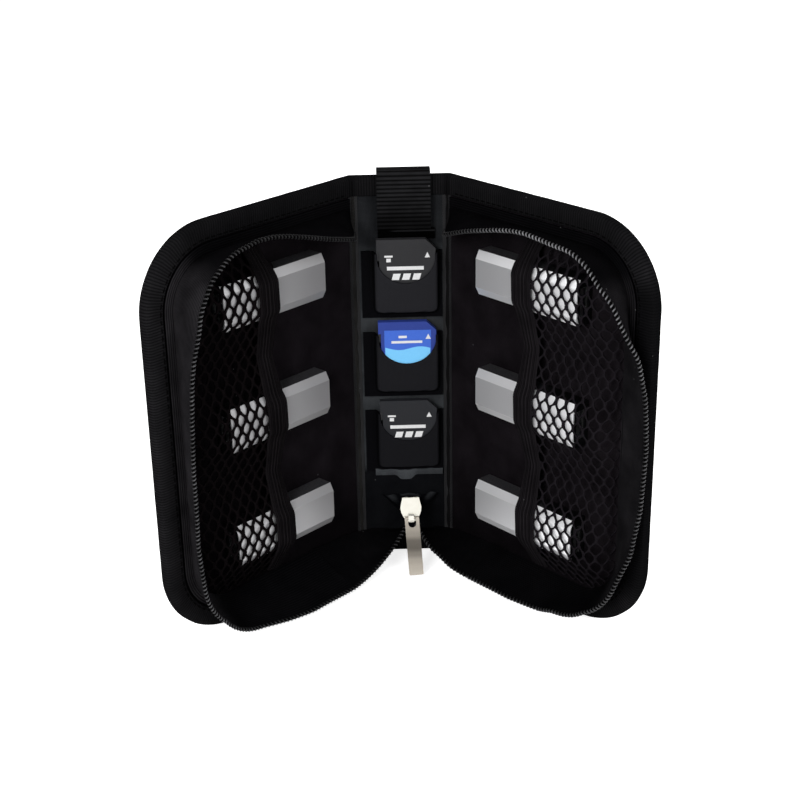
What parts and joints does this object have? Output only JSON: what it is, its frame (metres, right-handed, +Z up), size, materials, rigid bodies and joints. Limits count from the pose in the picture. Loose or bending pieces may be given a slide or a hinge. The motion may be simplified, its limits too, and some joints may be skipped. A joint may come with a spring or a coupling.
{
  "type": "memory card case",
  "caption": "Zip-around fabric wallet standing open like a book, with mesh pockets for memory sticks on both covers and notched card pockets down the spine",
  "frame": {"origin": "middle of the spine's lower edge, on the face it stands on", "axes": "+X along the spine's width to the right as the open case is read, +Y away from the opening, +Z up"},
  "size_m": [0.1912, 0.0959, 0.1728],
  "materials": {
    "shell_fabric": "black woven nylon",
    "stiffener": "grey board",
    "lining_fabric": "black smooth lining cloth",
    "binding_tape": "black ribbed binding tape",
    "zip_tape": "charcoal woven zip tape",
    "zip_coil": "black nylon coil",
    "mesh": "black knitted mesh",
    "elastic": "black woven elastic",
    "webbing": "black ribbed webbing",
    "stick_housing": "black moulded plastic",
    "stick_plate": "satin silver",
    "plug_metal": "stamped steel",
    "card_dark": "dark grey moulded plastic",
    "card_blue": "blue moulded plastic with a printed label",
    "lock_tab": "pale grey plastic",
    "slider_metal": "polished nickel",
    "tab_metal": "satin nickel"
  },
  "bodies": {
    "spine": {"card_pocket_1": "lining_fabric", "card_pocket_2": "lining_fabric", "card_pocket_3": "lining_fabric", "left_fold_roll": "shell_fabric", "pocket_hem_strip": "lining_fabric", "right_fold_roll": "shell_fabric", "spine_board": "stiffener", "spine_bottom_binding": "binding_tape", "spine_lining": "lining_fabric", "spine_outer_fabric": "shell_fabric", "spine_top_binding": "binding_tape", "webbing_loop": "webbing", "zip_gusset_coil": "zip_coil", "zip_gusset_tape": "zip_tape", "zip_slider": "slider_metal"},
    "left_cover": {"left_outer_fabric": "shell_fabric", "left_board": "stiffener", "left_lining": "lining_fabric", "left_binding": "binding_tape", "left_zip_tape": "zip_tape", "left_zip_coil": "zip_coil", "left_mesh_net": "mesh", "left_mesh_elastic": "elastic"},
    "left_stick_1": {"left_stick_1_housing": "stick_housing", "left_stick_1_plate": "stick_plate"},
    "left_plug_1": {"left_stick_1_connector": "plug_metal"},
    "left_stick_2": {"left_stick_2_housing": "stick_housing", "left_stick_2_plate": "stick_plate"},
    "left_plug_2": {"left_stick_2_connector": "plug_metal"},
    "left_stick_3": {"left_stick_3_housing": "stick_housing", "left_stick_3_plate": "stick_plate"},
    "left_plug_3": {"left_stick_3_connector": "plug_metal"},
    "right_cover": {"right_outer_fabric": "shell_fabric", "right_board": "stiffener", "right_lining": "lining_fabric", "right_binding": "binding_tape", "right_zip_tape": "zip_tape", "right_zip_coil": "zip_coil", "right_mesh_net": "mesh", "right_mesh_elastic": "elastic"},
    "right_stick_1": {"right_stick_1_housing": "stick_housing", "right_stick_1_plate": "stick_plate"},
    "right_plug_1": {"right_stick_1_connector": "plug_metal"},
    "right_stick_2": {"right_stick_2_housing": "stick_housing", "right_stick_2_plate": "stick_plate"},
    "right_plug_2": {"right_stick_2_connector": "plug_metal"},
    "right_stick_3": {"right_stick_3_housing": "stick_housing", "right_stick_3_plate": "stick_plate"},
    "right_plug_3": {"right_stick_3_connector": "plug_metal"},
    "card_1": {"card_1": "card_dark"},
    "card_1_lock": {"card_1_lock_tab": "lock_tab"},
    "card_2": {"card_2": "card_blue"},
    "card_2_lock": {"card_2_lock_tab": "lock_tab"},
    "card_3": {"card_3": "card_dark"},
    "card_3_lock": {"card_3_lock_tab": "lock_tab"},
    "pull_tab": {"pull_tab": "tab_metal"}
  },
  "joints": [
    {"name": "left_cover_fold", "type": "hinge", "parent": "spine", "child": "left_cover", "pos_m": [-0.02, 0, 0], "axis": [0, 0, -1], "range_deg": [-44, 46]},
    {"name": "left_stick_1_pull", "type": "slide", "parent": "left_cover", "child": "left_stick_1", "axis": [0.6947, 0.7193, 0], "range_m": [0, 0.02]},
    {"name": "left_plug_1_slide", "type": "slide", "parent": "left_stick_1", "child": "left_plug_1", "axis": [-0.6947, -0.7193, 0], "range_m": [0, 0.0125]},
    {"name": "left_stick_2_pull", "type": "slide", "parent": "left_cover", "child": "left_stick_2", "axis": [0.6947, 0.7193, 0], "range_m": [0, 0.02]},
    {"name": "left_plug_2_slide", "type": "slide", "parent": "left_stick_2", "child": "left_plug_2", "axis": [-0.6947, -0.7193, 0], "range_m": [0, 0.0125]},
    {"name": "left_stick_3_pull", "type": "slide", "parent": "left_cover", "child": "left_stick_3", "axis": [0.6947, 0.7193, 0], "range_m": [0, 0.02]},
    {"name": "left_plug_3_slide", "type": "slide", "parent": "left_stick_3", "child": "left_plug_3", "axis": [-0.6947, -0.7193, 0], "range_m": [0, 0.0125]},
    {"name": "right_cover_fold", "type": "hinge", "parent": "spine", "child": "right_cover", "pos_m": [0.02, 0, 0], "axis": [0, 0, 1], "range_deg": [-41, 49]},
    {"name": "right_stick_1_pull", "type": "slide", "parent": "right_cover", "child": "right_stick_1", "axis": [-0.6561, 0.7547, 0], "range_m": [0, 0.02]},
    {"name": "right_plug_1_slide", "type": "slide", "parent": "right_stick_1", "child": "right_plug_1", "axis": [0.6561, -0.7547, 0], "range_m": [0, 0.0125]},
    {"name": "right_stick_2_pull", "type": "slide", "parent": "right_cover", "child": "right_stick_2", "axis": [-0.6561, 0.7547, 0], "range_m": [0, 0.02]},
    {"name": "right_plug_2_slide", "type": "slide", "parent": "right_stick_2", "child": "right_plug_2", "axis": [0.6561, -0.7547, 0], "range_m": [0, 0.0125]},
    {"name": "right_stick_3_pull", "type": "slide", "parent": "right_cover", "child": "right_stick_3", "axis": [-0.6561, 0.7547, 0], "range_m": [0, 0.02]},
    {"name": "right_plug_3_slide", "type": "slide", "parent": "right_stick_3", "child": "right_plug_3", "axis": [0.6561, -0.7547, 0], "range_m": [0, 0.0125]},
    {"name": "card_1_pull", "type": "slide", "parent": "spine", "child": "card_1", "axis": [0, -0.1045, 0.9945], "range_m": [0, 0.026]},
    {"name": "card_1_lock_slide", "type": "slide", "parent": "card_1", "child": "card_1_lock", "axis": [0, 0.1045, -0.9945], "range_m": [0, 0.0026]},
    {"name": "card_2_pull", "type": "slide", "parent": "spine", "child": "card_2", "axis": [0, -0.1045, 0.9945], "range_m": [0, 0.026]},
    {"name": "card_2_lock_slide", "type": "slide", "parent": "card_2", "child": "card_2_lock", "axis": [0, 0.1045, -0.9945], "range_m": [0, 0.0026]},
    {"name": "card_3_pull", "type": "slide", "parent": "spine", "child": "card_3", "axis": [0, -0.1045, 0.9945], "range_m": [0, 0.026]},
    {"name": "card_3_lock_slide", "type": "slide", "parent": "card_3", "child": "card_3_lock", "axis": [0, 0.1045, -0.9945], "range_m": [0, 0.0026]},
    {"name": "pull_tab_swing", "type": "hinge", "parent": "spine", "child": "pull_tab", "pos_m": [0.0022, -0.01624, 0.02329], "axis": [-1, 0, 0], "range_deg": [0, 150]}
  ]
}
